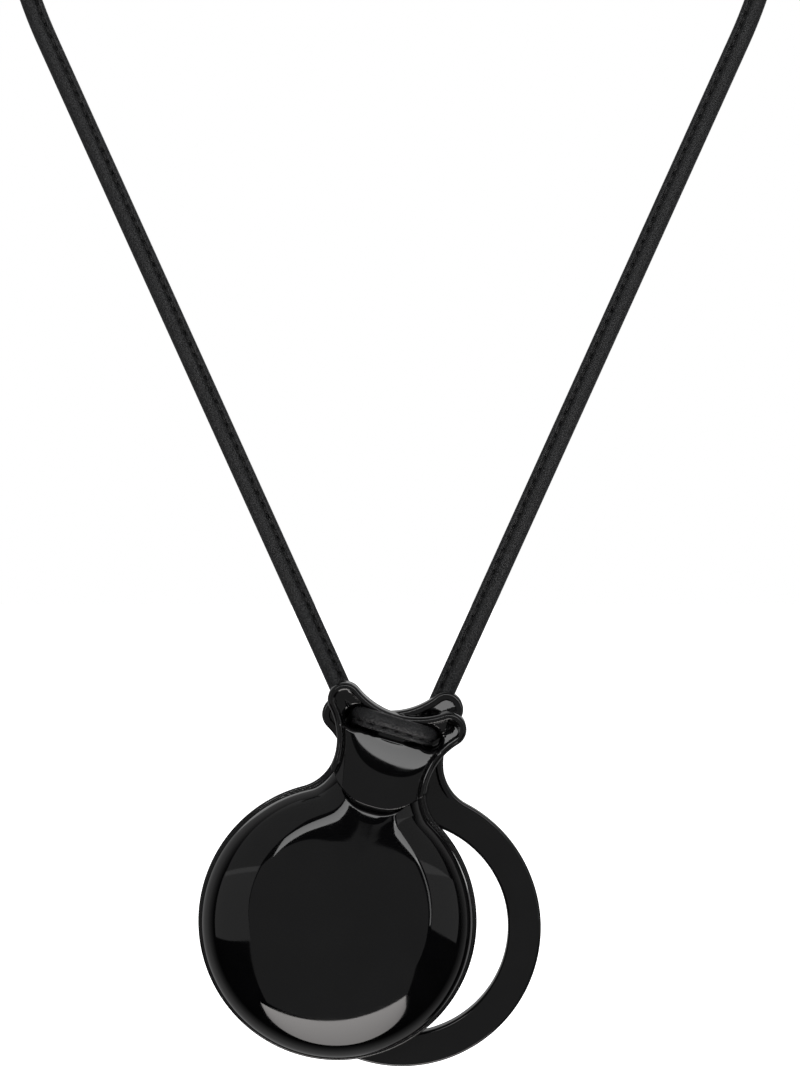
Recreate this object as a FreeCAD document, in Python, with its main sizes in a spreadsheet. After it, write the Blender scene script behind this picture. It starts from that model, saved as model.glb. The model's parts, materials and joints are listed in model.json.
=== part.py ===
"""A pair of castanet leaves worn as a pendant on a stitched leather neck cord.

Millimetres. +Z is up, -Y is the side that faces the viewer and +X is to the viewer's right. The origin
is the middle of the loop at the nape, where the necklace hangs. The cord lies in the plane y = 0 and the
two leaves meet in a plane in front of it. Each leaf is modelled about the middle of its own pair of
cord holes, with its neck along Z, and is then tilted about Y and moved down to its place on the cord.
"""
import FreeCAD, Part
import Sketcher
import math
import os

from FreeCAD import Placement, Rotation, Vector

os.makedirs("parts", exist_ok=True)
doc = FreeCAD.newDocument("castanet_pendant")

X_AXIS, Y_AXIS, Z_AXIS = Vector(1, 0, 0), Vector(0, 1, 0), Vector(0, 0, 1)
FRONT, REAR = -1, 1

# Driving dimensions: alias, value, meaning.
SIZES = [
    ("pivot_drop", 295.8, "nape to the middle of the cord holes"),
    ("cord_diameter", 5.0, "stitched leather sleeve, outside"),
    ("sleeve_bore", 3.1, "inside of the leather sleeve"),
    ("core_diameter", 2.9, "filler inside the sleeve"),
    ("cord_clearance", 0.35, "cord to the face of a neck"),
    ("leaf_gap", 0.3, "between the inner faces of the two leaves"),
    ("front_tilt", 16.0, "front leaf, bottom to the left, degrees"),
    ("rear_tilt", -2.5, "rear leaf, bottom to the right, degrees"),
    ("disc_radius", 31.8, "round part of both leaves"),
    ("disc_drop", 46.2, "cord holes to the centre of the disc"),
    ("waist_half", 11.05, "half width of the neck at its waist"),
    ("waist_fillet", 10.3, "hollow curve from the disc to the waist"),
    ("ear_half", 12.3, "ear centre from the middle"),
    ("ear_rise", 3.2, "ear centre above the cord holes"),
    ("ear_radius", 3.9, "round end of an ear"),
    ("bridge_thickness", 7.5, "neck and ears, through the cord holes"),
    ("hole_half", 8.85, "cord hole from the middle"),
    ("hole_diameter", 6.6, "straight part of a cord hole"),
    ("flare_diameter", 9.6, "mouth of a cord hole at the inner face"),
    ("flare_depth", 3.8, "length of that flare"),
    ("mouth_round", 1.7, "rounding of the outer mouth of a cord hole"),
    ("dome_height", 15.0, "front shell, inner face to crown"),
    ("dome_lip", 1.6, "straight edge of the shell next to its inner face"),
    ("dome_shoulder", 9.5, "radius of the shell's shoulder"),
    ("cavity_radius", 24.7, "mouth of the hollow in the front shell"),
    ("cavity_depth", 11.2, "depth of that hollow"),
    ("swell_height", 3.3, "crest of the swelling on the front neck above its face"),
    ("swell_start", 0.9, "upper edge of the swelling above the face"),
    ("swell_end", 3.0, "lower end of the swelling above the face"),
    ("swell_root", 2.0, "depth of the swelling's root inside the neck"),
    ("swell_inset", 0.3, "side of the swelling inside the waist"),
    ("slope_drop", 9.0, "cord holes to the top of the slope on the back of the rear neck"),
    ("slope_overlap", 2.0, "how far that slope runs on past the disc's top"),
    ("foot_side", 15.0, "half width of the neck's foot inside the disc"),
    ("foot_rise", 25.4, "disc's middle to the neck's foot"),
    ("neck_edge_drop", 18.2, "cord holes to the lowest point of the neck's lower edge"),
    ("neck_edge_rise", 6.2, "how much higher that edge ends at the waist"),
    ("ring_inner", 24.3, "opening of the rear ring"),
    ("ring_thickness", 4.6, "rear ring"),
    ("ring_edge", 0.8, "rounded edges of the rear ring"),
    ("clap_bevel", 9.0, "relief above the fulcrum of the rear leaf, degrees"),
    ("link_half", 3.75, "clasp middle to its eyelet and to its hook seat"),
    ("ring_bend", 2.6, "jump ring, bend radius"),
    ("wire_diameter", 0.9, "jump ring wire"),
    ("eye_diameter", 1.7, "eyelets for the jump rings"),
    ("eye_radius", 1.5, "outside of an eyelet"),
    ("eye_thickness", 1.2, "eyelet plates"),
    ("cap_diameter", 6.6, "end cap, outside"),
    ("cap_length", 9.0, "end cap without its eyelet"),
    ("cap_wall", 1.2, "closed end of an end cap"),
    ("eye_neck", 1.65, "eyelet centre to the closed end of its cap"),
    ("clasp_thickness", 2.2, "clasp body"),
    ("hook_inner", 2.4, "inside of the hook"),
    ("hook_outer", 3.6, "outside of the hook"),
    ("hook_offset", 2.25, "centre of the hook from the middle of the clasp"),
    ("gate_pivot_x", -1.5, "gate pivot from the middle of the clasp"),
    ("gate_pivot_z", -1.5, "gate pivot below the cord line"),
    ("gate_reach", 4.7, "gate, pivot to tip"),
    ("gate_thickness", 1.0, "gate, along Y"),
    ("gate_slot", 1.2, "slot of the clasp body for the gate"),
    ("pin_diameter", 0.8, "gate pin"),
    ("gate_bore", 0.9, "bore of the gate on its pin"),
]

# Route of the cord on the left side, from the end in its cap over the shoulder of the loop to the top
# of the straight strand: (x, z) in the plane y = 0. The right side is its mirror image.
LOOP_ROUTE = [(-11.9, 0.0), (-26.0, 0.0), (-51.5, -8.5), (-74.5, -29.5), (-88.0, -58.5), (-92.0, -90.5),
              (-87.0, -122.5)]
STRAND_SLOPE = 0.4533      # sideways travel of a straight strand for each millimetre down
BEND_LEAD = 3.3            # a strand starts its fold into a hole this far above the hole's axis
BEND_INSET = 3.2           # and is in line with the hole this far in front of the strand
CROSSING_DEPTH = 2.8       # the cord leaves the hole's axis here, to cross over to the other leaf
ARC_SHARE = 0.45           # share of the shorter run that an arc takes at its corner


def make_sheet():
    """Write the driving dimensions into the sheet and return them as a dictionary too."""
    sheet = doc.addObject("Spreadsheet::Sheet", "Sizes")
    for row, (alias, value, meaning) in enumerate(SIZES, start=1):
        sheet.set(f"A{row}", meaning)
        sheet.set(f"B{row}", str(value))
        sheet.setAlias(f"B{row}", alias)
    doc.recompute()
    return {alias: float(sheet.get(alias)) for alias, _, _ in SIZES}


size = make_sheet()
STRAND_DEPTH = (size["leaf_gap"] / 2 + size["bridge_thickness"] + size["cord_clearance"]
                + size["cord_diameter"] / 2)
INNER_FACE = size["leaf_gap"] / 2
FACE = INNER_FACE + size["bridge_thickness"]
DISC_Z = -size["disc_drop"]
CUT_PAST = 1.0             # how far a cut runs on outside the material


def bind(feature, **expressions):
    """Bind properties of a feature to expressions of the sheet."""
    for name, expression in expressions.items():
        feature.setExpression(name, expression)


def new_body(label):
    body = doc.addObject("PartDesign::Body", label)
    body.Label = label
    return body


def add_sketch(body, name, role, edges, offset=Vector()):
    """Sketch on one of the body's own origin planes, moved by offset in the sketch's own axes."""
    plane = next(f for f in body.Origin.OriginFeatures if f.Role == role)
    sketch = body.newObject("Sketcher::SketchObject", name)
    sketch.AttachmentSupport = [(plane, "")]
    sketch.MapMode = "FlatFace"
    sketch.AttachmentOffset = Placement(offset, Rotation())
    for edge in edges:
        sketch.addGeometry(edge, False)
    return sketch


def add_pad(body, name, sketch, length, towards_minus_y=True):
    """Pad a sketch of the XZ plane, whose normal is -Y."""
    pad = body.newObject("PartDesign::Pad", name)
    pad.Profile = sketch
    bind(pad, Length=length)
    pad.Reversed = not towards_minus_y
    return pad


def add_mid_pad(body, name, sketch, length):
    pad = add_pad(body, name, sketch, length)
    pad.Midplane = True
    return pad


def add_through_pocket(body, name, sketch):
    """Cut a sketch through the whole body, both ways."""
    pocket = body.newObject("PartDesign::Pocket", name)
    pocket.Profile = sketch
    pocket.Type = "ThroughAll"
    pocket.Midplane = True
    return pocket


def add_turned(body, kind, name, sketch, axis):
    """Full revolution or groove of a sketch about one of the sketch's own axes."""
    feature = body.newObject(f"PartDesign::{kind}", name)
    feature.Profile = sketch
    feature.ReferenceAxis = (sketch, [axis])
    feature.Angle = 360
    return feature


def flat(x, y):
    return Vector(x, y, 0)


def line(start, end):
    return Part.LineSegment(start, end)


def polyline(points):
    return [line(a, b) for a, b in zip(points, points[1:] + points[:1])]


def arc_about(centre, start, end, clockwise=False):
    """Arc of a circle from start to end about centre, counter-clockwise unless told otherwise."""
    if clockwise:
        start, end = end, start
    first = math.atan2(start.y - centre.y, start.x - centre.x)
    last = math.atan2(end.y - centre.y, end.x - centre.x)
    if last <= first:
        last += 2 * math.pi
    circle = Part.Circle(centre, Vector(0, 0, 1), (start - centre).Length)
    return Part.ArcOfCircle(circle, first, last)


def between(centre, towards, radius):
    """Point at radius from centre in the direction of another point."""
    direction = towards - centre
    return centre + direction * (radius / direction.Length)


# ---------------------------------------------------------------- leaves


def neck_outline():
    """Outline of neck and ears, tangent arcs all the way, on a foot that lies inside the disc.

    From the disc's circle a hollow fillet runs to the waist, a second hollow arc leads out to the ear, the
    ear is a round of its own, and one hollow arc joins the two ears over the cord.
    """
    disc = flat(0, DISC_Z)
    ear = flat(size["ear_half"], size["ear_rise"])
    waist, fillet, ear_radius = size["waist_half"], size["waist_fillet"], size["ear_radius"]

    fillet_x = waist + fillet
    fillet_centre = flat(fillet_x, DISC_Z + math.sqrt((size["disc_radius"] + fillet) ** 2 - fillet_x ** 2))
    on_disc = between(disc, fillet_centre, size["disc_radius"])
    at_waist = flat(waist, fillet_centre.y)

    # Hollow arc that leaves the waist upright and touches the ear from outside.
    gap, rise = ear.x - waist, ear.y - at_waist.y
    hollow = (gap ** 2 + rise ** 2 - ear_radius ** 2) / (2 * (gap + ear_radius))
    hollow_centre = flat(waist + hollow, at_waist.y)
    ear_low = between(ear, hollow_centre, ear_radius)

    # Hollow arc over the cord, its lowest point level with the ears' centres.
    trough = (ear.x ** 2 - ear_radius ** 2) / (2 * ear_radius)
    trough_centre = flat(0, ear.y + trough)
    ear_high = between(ear, trough_centre, ear_radius)

    def mirrored(point):
        return flat(-point.x, point.y)

    foot = flat(size["foot_side"], DISC_Z + size["foot_rise"])
    right = [line(foot, on_disc),
             arc_about(fillet_centre, on_disc, at_waist, clockwise=True),
             arc_about(hollow_centre, at_waist, ear_low, clockwise=True),
             arc_about(ear, ear_low, ear_high)]
    left = [arc_about(mirrored(ear), mirrored(ear_high), mirrored(ear_low)),
            arc_about(mirrored(hollow_centre), mirrored(ear_low), mirrored(at_waist), clockwise=True),
            arc_about(mirrored(fillet_centre), mirrored(at_waist), mirrored(on_disc), clockwise=True),
            line(mirrored(on_disc), mirrored(foot))]
    top = arc_about(trough_centre, ear_high, mirrored(ear_high), clockwise=True)
    return right + [top] + left + [line(mirrored(foot), foot)]


def add_neck(body, side):
    """Block of the neck and ears, from the inner face outwards."""
    sketch = add_sketch(body, "neck_outline", "XZ_Plane", neck_outline(), Vector(0, 0, -side * INNER_FACE))
    return add_pad(body, "neck", sketch, "Sizes.bridge_thickness", towards_minus_y=side == FRONT)


def add_cord_holes(body, side):
    """Two cord holes: flared at the inner face, straight, and rounded at the outer face."""
    straight = size["hole_diameter"] / 2
    flare = size["flare_diameter"] / 2
    rounding = size["mouth_round"]
    slope = (flare - straight) / size["flare_depth"]
    inner = flat(flare + slope * INNER_FACE, 0)
    flare_end = flat(straight, side * (INNER_FACE + size["flare_depth"]))
    mouth_start = flat(straight, side * (FACE - rounding))
    mouth_end = flat(straight + rounding, side * FACE)
    mouth_centre = flat(straight + rounding, side * (FACE - rounding))
    beyond = side * (FACE + size["swell_height"] + rounding)
    for name, x in (("left", -size["hole_half"]), ("right", size["hole_half"])):
        edges = [line(flat(0, 0), inner),
                 line(inner, flare_end),
                 line(flare_end, mouth_start),
                 arc_about(mouth_centre, mouth_start, mouth_end, clockwise=side == REAR),
                 line(mouth_end, flat(mouth_end.x, beyond)),
                 line(flat(mouth_end.x, beyond), flat(0, beyond)),
                 line(flat(0, beyond), flat(0, 0))]
        sketch = add_sketch(body, f"cord_hole_{name}_profile", "XY_Plane", edges, Vector(x, 0, 0))
        add_turned(body, "Groove", f"cord_hole_{name}", sketch, "V_Axis")


def dome_profile():
    """Half profile of the dome: lip, shoulder and crown, (y, radius) with the radius along the sketch's Y."""
    rim, lip, shoulder = size["disc_radius"], size["dome_lip"], size["dome_shoulder"]
    height = size["dome_height"]
    shoulder_centre = flat(-lip - INNER_FACE, rim - shoulder)
    reach = shoulder_centre.y
    depth = height - lip
    crown = (reach ** 2 + depth ** 2 - shoulder ** 2) / (2 * (depth - shoulder))
    crown_centre = flat(-INNER_FACE - height + crown, 0)
    top = flat(-INNER_FACE - height, 0)
    join = between(crown_centre, shoulder_centre, crown)
    inner_edge = flat(-INNER_FACE, rim)
    lip_end = flat(shoulder_centre.x, rim)
    return [line(flat(-INNER_FACE, 0), inner_edge),
            line(inner_edge, lip_end),
            arc_about(shoulder_centre, lip_end, join),
            arc_about(crown_centre, join, top),
            line(top, flat(-INNER_FACE, 0))]


def cavity_profile():
    """Half profile of the hollow: one round bowl with a flat mouth."""
    mouth, depth = size["cavity_radius"], size["cavity_depth"]
    bowl = (mouth ** 2 + depth ** 2) / (2 * depth)
    centre = flat(-INNER_FACE - depth + bowl, 0)
    edge, bottom = flat(-INNER_FACE, mouth), flat(-INNER_FACE - depth, 0)
    return [line(flat(0, 0), flat(0, mouth)),
            line(flat(0, mouth), edge),
            arc_about(centre, edge, bottom),
            line(bottom, flat(0, 0))]


def add_swell(body):
    """Rounded swelling across the neck below the cord, ending in a bow-shaped edge over the dome."""
    top, peak, foot = -3.4, -12.0, -21.0
    root = -FACE + size["swell_root"]
    start = flat(-FACE - size["swell_start"], top)
    end = flat(-FACE - size["swell_end"], foot)
    edges = [Part.Arc(start, flat(-FACE - size["swell_height"], peak), end),
             line(end, flat(root, foot)),
             line(flat(root, foot), flat(root, top)),
             line(flat(root, top), start)]
    pad = add_mid_pad(body, "swell", add_sketch(body, "swell_profile", "YZ_Plane", edges),
                      "2 * (Sizes.waist_half - Sizes.swell_inset)")

    # Everything outside the neck's face and below its lower edge goes, before the dome is added.
    lowest, waist = -size["neck_edge_drop"], size["waist_half"]
    ends = lowest + size["neck_edge_rise"]
    left, right = flat(-waist, ends), flat(waist, ends)
    under = foot - CUT_PAST
    below = [Part.Arc(left, flat(0, lowest), right),
             line(right, flat(waist, under)),
             line(flat(waist, under), flat(-waist, under)),
             line(flat(-waist, under), left)]
    cut = body.newObject("PartDesign::Pocket", "neck_edge")
    cut.Profile = add_sketch(body, "neck_edge_outline", "XZ_Plane", below, Vector(0, 0, FACE))
    bind(cut, Length="2 * Sizes.swell_height")
    cut.Reversed = True
    return pad


def make_front_shell():
    body = new_body("front_shell")
    add_neck(body, FRONT)
    add_swell(body)
    at_disc = Vector(0, DISC_Z, 0)
    dome = add_sketch(body, "dome_profile", "YZ_Plane", dome_profile(), at_disc)
    add_turned(body, "Revolution", "dome", dome, "H_Axis")
    bowl = add_sketch(body, "cavity_profile", "YZ_Plane", cavity_profile(), at_disc)
    add_turned(body, "Groove", "cavity", bowl, "H_Axis")
    add_cord_holes(body, FRONT)
    place_leaf(body, size["front_tilt"])
    return body


def ring_profile():
    """Section of the ring with its four edges rounded: (y, radius)."""
    low, high, edge = INNER_FACE, INNER_FACE + size["ring_thickness"], size["ring_edge"]
    inside, outside = size["ring_inner"], size["disc_radius"]
    corners = [(low, inside, 1, 1), (high, inside, -1, 1), (high, outside, -1, -1), (low, outside, 1, -1)]
    edges, previous_end, first_start = [], None, None
    for index, (y, radius, y_in, r_in) in enumerate(corners):
        centre = flat(y + y_in * edge, radius + r_in * edge)
        on_side = flat(y, centre.y)
        on_rim = flat(centre.x, radius)
        start, end = (on_side, on_rim) if index % 2 == 0 else (on_rim, on_side)
        if previous_end is None:
            first_start = start
        else:
            edges.append(line(previous_end, start))
        edges.append(arc_about(centre, start, end))
        previous_end = end
    return edges + [line(previous_end, first_start)]


def make_rear_ring():
    body = new_body("rear_ring")
    add_neck(body, REAR)
    ring = add_sketch(body, "ring_profile", "YZ_Plane", ring_profile(), Vector(0, DISC_Z, 0))
    add_turned(body, "Revolution", "ring", ring, "H_Axis")

    # Relief of the inner face above the fulcrum, so that the leaf can rock open.
    above = size["ear_rise"] + size["ear_radius"] + CUT_PAST
    depth = above * math.tan(math.radians(size["clap_bevel"]))
    relief = polyline([flat(INNER_FACE, 0), flat(INNER_FACE + depth, above), flat(0, above), flat(0, 0)])
    add_through_pocket(body, "clap_relief", add_sketch(body, "clap_relief_profile", "YZ_Plane", relief))

    # The back of the neck slopes down to the thinner ring.
    ring_back, slope_top = INNER_FACE + size["ring_thickness"], -size["slope_drop"]
    slope_foot = DISC_Z + size["disc_radius"] - size["slope_overlap"]
    back = polyline([flat(FACE, slope_top), flat(ring_back, slope_foot), flat(ring_back, DISC_Z),
                     flat(FACE + CUT_PAST, DISC_Z), flat(FACE + CUT_PAST, slope_top)])
    add_through_pocket(body, "neck_slope", add_sketch(body, "neck_slope_profile", "YZ_Plane", back))
    add_cord_holes(body, REAR)
    place_leaf(body, size["rear_tilt"])
    return body


def place_leaf(body, tilt):
    body.Placement = Placement(Vector(0, -STRAND_DEPTH, -size["pivot_drop"]), Rotation(Y_AXIS, tilt))


# ---------------------------------------------------------------- cord


def hole_position(tilt, side_x):
    """Where a leaf's cord hole lies (x, z), side_x being -1 for the left hole and 1 for the right one."""
    turn = math.radians(tilt)
    reach = side_x * size["hole_half"]
    return reach * math.cos(turn), -size["pivot_drop"] - reach * math.sin(turn)


def folded_route(side_x):
    """Lower end of one strand: down behind the rear leaf, through both leaves and on to the front face."""
    rear_x, rear_z = hole_position(size["rear_tilt"], side_x)
    front_x, front_z = hole_position(size["front_tilt"], side_x)
    turn = math.radians(size["front_tilt"])
    top_x, top_z = LOOP_ROUTE[-1]
    lead_z = rear_z + BEND_LEAD
    lead_x = -side_x * (top_x + STRAND_SLOPE * (top_z - lead_z))
    return [Vector(lead_x, 0, lead_z),
            Vector(rear_x, -BEND_INSET, rear_z),
            Vector(rear_x, -STRAND_DEPTH + CROSSING_DEPTH, rear_z),
            Vector(front_x, -STRAND_DEPTH - CROSSING_DEPTH, front_z),
            Vector(front_x, -2 * STRAND_DEPTH + BEND_INSET, front_z),
            Vector(front_x - side_x * BEND_LEAD * math.cos(turn), -2 * STRAND_DEPTH,
                   front_z + side_x * BEND_LEAD * math.sin(turn))]


def cord_route():
    """All points of the cord, from the left end cap round to the right one."""
    left = [Vector(x, 0, z) for x, z in LOOP_ROUTE] + folded_route(-1)
    right = [Vector(-x, 0, z) for x, z in LOOP_ROUTE] + folded_route(1)
    return left + right[::-1]


def rounded_wire(points, report=False):
    """Straight runs joined by tangent arcs, each as large as its two runs allow."""
    edges, start = [], points[0]
    for before, corner, after in zip(points, points[1:], points[2:]):
        back, ahead = (before - corner), (after - corner)
        turn = math.pi - back.getAngle(ahead)
        tangent = ARC_SHARE * min(back.Length, ahead.Length)
        back.normalize()
        ahead.normalize()
        entry, leave = corner + back * tangent, corner + ahead * tangent
        radius = tangent / math.tan(turn / 2)
        middle_way = (back + ahead).normalize()
        centre_distance = radius / math.cos(turn / 2)
        middle = corner + middle_way * (centre_distance - radius)
        edges.append(Part.LineSegment(start, entry).toShape())
        edges.append(Part.Arc(entry, middle, leave).toShape())
        start = leave
        if report:
            print(f"corner {corner.x:7.1f} {corner.y:6.1f} {corner.z:7.1f}"
                  f"  turn {math.degrees(turn):5.1f}  arc radius {radius:6.1f}")
    edges.append(Part.LineSegment(start, points[-1]).toShape())
    return Part.Wire(edges)


def swept(path, radius):
    """Round solid along a path, its ends square to the path."""
    start = path.Edges[0].Vertexes[0].Point
    direction = path.Edges[0].tangentAt(path.Edges[0].FirstParameter)
    section = Part.Wire([Part.Circle(start, direction, radius).toShape()])
    return path.makePipeShell([section], True, True)


def make_cord():
    """Leather sleeve and its core, both along one route."""
    path = rounded_wire(cord_route(), report=True)
    sleeve = swept(path, size["cord_diameter"] / 2).cut(swept(path, size["sleeve_bore"] / 2))
    core = swept(path, size["core_diameter"] / 2)
    print(f"cord length {path.Length:.1f}")
    pieces = []
    sections = {
        "neck_cord": (sleeve, math.pi * (size["cord_diameter"] ** 2 - size["sleeve_bore"] ** 2) / 4),
        "cord_core": (core, math.pi * size["core_diameter"] ** 2 / 4),
    }
    for label, (shape, area) in sections.items():
        piece = doc.addObject("Part::Feature", label)
        piece.Label = label
        piece.Shape = shape
        print(f"{label} volume {shape.Volume:.1f}, section times length {area * path.Length:.1f}")
        pieces.append(piece)
    return pieces


# ---------------------------------------------------------------- closure at the nape


def make_end_cap(label, turn):
    """Cup for the cord's end with an eyelet on its closed end, pointing along -X before it is turned."""
    back_bevel, mouth_bevel, eyelet_overlap = 0.8, 0.3, 0.4
    crimp, crimp_foot, crimp_floor = 0.35, 1.0, 0.6
    body = new_body(label)
    eye_x = size["link_half"] + 2 * size["ring_bend"]
    closed = eye_x + size["eye_neck"]
    mouth = closed + size["cap_length"]
    outer, bore = size["cap_diameter"] / 2, size["cord_diameter"] / 2
    crimp_x = closed + size["cap_length"] / 2
    inner_end = closed + size["cap_wall"]
    half = [flat(closed, 0), flat(closed, outer - back_bevel), flat(closed + back_bevel, outer),
            flat(crimp_x - crimp_foot, outer), flat(crimp_x - crimp_floor, outer - crimp),
            flat(crimp_x + crimp_floor, outer - crimp), flat(crimp_x + crimp_foot, outer),
            flat(mouth - mouth_bevel, outer), flat(mouth, outer - mouth_bevel), flat(mouth, bore),
            flat(inner_end, bore), flat(inner_end, 0)]
    cup = add_sketch(body, "cup_profile", "XY_Plane", polyline(half))
    add_turned(body, "Revolution", "cup", cup, "H_Axis")

    radius = size["eye_radius"]
    top, bottom = flat(eye_x, radius), flat(eye_x, -radius)
    root = closed + eyelet_overlap
    tab = [line(flat(root, radius), top), arc_about(flat(eye_x, 0), top, bottom),
           line(bottom, flat(root, -radius)), line(flat(root, -radius), flat(root, radius))]
    add_mid_pad(body, "eyelet", add_sketch(body, "eyelet_outline", "XZ_Plane", tab), "Sizes.eye_thickness")
    add_eye(body, eye_x)
    body.Placement = Placement(Vector(), Rotation(Z_AXIS, turn))
    return body


def add_eye(body, x):
    """Round eyelet hole along Y, its diameter held by a constraint bound to the sheet."""
    sketch = add_sketch(body, "eye", "XZ_Plane", [], Vector(x, 0, 0))
    sketch.addGeometry(Part.Circle(flat(0, 0), Vector(0, 0, 1), size["eye_diameter"] / 2), False)
    index = sketch.addConstraint(Sketcher.Constraint("Diameter", 0, size["eye_diameter"]))
    sketch.setExpression(f"Constraints[{index}]", "Sizes.eye_diameter")
    add_through_pocket(body, "eye_hole", sketch)


def make_jump_ring(label, side_x):
    ring = doc.addObject("Part::Torus", label)
    ring.Label = label
    bind(ring, Radius1="Sizes.ring_bend", Radius2="Sizes.wire_diameter / 2")
    ring.Placement = Placement(Vector(side_x * (size["link_half"] + size["ring_bend"]), 0, 0), Rotation())
    return ring


HOOK_TIP_ANGLE, HOOK_ROOT_ANGLE = math.radians(-50), math.radians(215)
BLOCK_LEFT, BLOCK_RIGHT, BLOCK_LOW, BLOCK_HIGH = -2.75, -0.35, -2.6, 1.8
BLOCK_BEVEL = 0.5
SLOT_WALL, SLOT_CEILING, SLOT_REACH = 0.25, -0.15, 0.7
OVERLAP = 0.5              # how far joined blocks and cuts run past each other


def make_clasp_body():
    """Hook that opens downwards, a block with the gate's slot, and the eyelet of the left jump ring."""
    body = new_body("clasp_body")
    centre = flat(size["hook_offset"], 0)

    def on_hook(radius, angle):
        return centre + flat(radius * math.cos(angle), radius * math.sin(angle))

    inner, outer = size["hook_inner"], size["hook_outer"]
    inner_root, inner_tip = on_hook(inner, HOOK_ROOT_ANGLE), on_hook(inner, HOOK_TIP_ANGLE)
    outer_root, outer_tip = on_hook(outer, HOOK_ROOT_ANGLE), on_hook(outer, HOOK_TIP_ANGLE)
    hook = [arc_about(centre, outer_tip, outer_root),
            line(outer_root, inner_root),
            arc_about(centre, inner_root, inner_tip, clockwise=True),
            line(inner_tip, outer_tip)]
    add_mid_pad(body, "hook", add_sketch(body, "hook_outline", "XZ_Plane", hook), "Sizes.clasp_thickness")

    left, right, low, high = BLOCK_LEFT, BLOCK_RIGHT, BLOCK_LOW, BLOCK_HIGH
    block = polyline([flat(left, low + BLOCK_BEVEL), flat(left + BLOCK_BEVEL, low),
                      flat(right - BLOCK_BEVEL, low), flat(right, low + BLOCK_BEVEL), flat(right, high),
                      flat(left, high)])
    add_mid_pad(body, "block", add_sketch(body, "block_outline", "XZ_Plane", block), "Sizes.clasp_thickness")

    eye_x, radius = -size["link_half"], size["eye_radius"]
    top, bottom = flat(eye_x, radius), flat(eye_x, -radius)
    root = left + OVERLAP
    tab = [arc_about(flat(eye_x, 0), top, bottom), line(bottom, flat(root, -radius)),
           line(flat(root, -radius), flat(root, radius)), line(flat(root, radius), top)]
    add_mid_pad(body, "eyelet", add_sketch(body, "eyelet_outline", "XZ_Plane", tab), "Sizes.eye_thickness")
    add_eye(body, eye_x)

    # Slot for the gate: open below and towards the hook, a wall of the block behind it.
    slot_left, slot_right, slot_low = left + SLOT_WALL, right + SLOT_REACH, low - OVERLAP
    slot = polyline([flat(slot_left, slot_low), flat(slot_right, slot_low), flat(slot_right, SLOT_CEILING),
                     flat(slot_left, SLOT_CEILING)])
    cut = body.newObject("PartDesign::Pocket", "gate_slot")
    cut.Profile = add_sketch(body, "gate_slot_outline", "XZ_Plane", slot)
    bind(cut, Length="Sizes.gate_slot")
    cut.Midplane = True

    pivot = Vector(size["gate_pivot_x"], size["gate_pivot_z"], 0)
    hole = add_sketch(body, "pin_hole_outline", "XZ_Plane",
                      [Part.Circle(flat(0, 0), Vector(0, 0, 1), size["pin_diameter"] / 2)], pivot)
    add_through_pocket(body, "pin_hole", hole)
    return body


def make_clasp_gate():
    """Gate: a round root on the pin and an arm that closes the hook, with a nub to press on."""
    body = new_body("clasp_gate")
    pivot = flat(size["gate_pivot_x"], size["gate_pivot_z"])
    root, upper, lower = 0.95, 0.35, -0.45
    nub_start, nub_end, nub_depth, nub_slope = 2.0, 3.5, 0.5, 0.4
    tip_bevel = 0.2
    tip_x = pivot.x + size["gate_reach"]
    root_top = flat(pivot.x + math.sqrt(root ** 2 - upper ** 2), pivot.y + upper)
    root_low = flat(pivot.x + math.sqrt(root ** 2 - lower ** 2), pivot.y + lower)
    under, over = root_low.y, root_top.y
    nub = under - nub_depth
    corners = [root_low, flat(pivot.x + nub_start, under), flat(pivot.x + nub_start + nub_slope, nub),
               flat(pivot.x + nub_end - nub_slope, nub), flat(pivot.x + nub_end, under),
               flat(tip_x - tip_bevel, under), flat(tip_x, over - tip_bevel), flat(tip_x - tip_bevel, over),
               root_top]
    outline = [line(a, b) for a, b in zip(corners, corners[1:])] + [arc_about(pivot, root_top, root_low)]
    add_mid_pad(body, "arm", add_sketch(body, "arm_outline", "XZ_Plane", outline), "Sizes.gate_thickness")
    bore = add_sketch(body, "bore_outline", "XZ_Plane",
                      [Part.Circle(flat(0, 0), Vector(0, 0, 1), size["gate_bore"] / 2)], pivot)
    add_through_pocket(body, "bore", bore)
    return body


def make_gate_pin():
    pin = doc.addObject("Part::Cylinder", "gate_pin")
    pin.Label = "gate_pin"
    bind(pin, Radius="Sizes.pin_diameter / 2", Height="Sizes.clasp_thickness")
    pin.Placement = Placement(Vector(size["gate_pivot_x"], size["clasp_thickness"] / 2, size["gate_pivot_z"]),
                              Rotation(X_AXIS, 90))
    return pin


def make_gate_spring():
    """Bent leaf in the roof of the slot: its middle bears on the roof, its ends on the gate's root."""
    body = new_body("gate_spring")
    x, leaf = size["gate_pivot_x"], 0.12
    roof, ends = -0.2, -0.4
    flat_half, half = 0.2, 0.75
    upper = [flat(x - half, ends), flat(x - flat_half, roof), flat(x + flat_half, roof), flat(x + half, ends)]
    strip = polyline(upper + [flat(point.x, point.y - leaf) for point in upper[::-1]])
    add_mid_pad(body, "leaf", add_sketch(body, "leaf_outline", "XZ_Plane", strip), "Sizes.gate_thickness")
    return body


# ---------------------------------------------------------------- assembly


def check_document():
    doc.recompute()
    for item in doc.Objects:
        if "Invalid" in item.State or "Error" in item.State:
            raise RuntimeError(f"{item.Label} did not compute: {item.State}")


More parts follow.
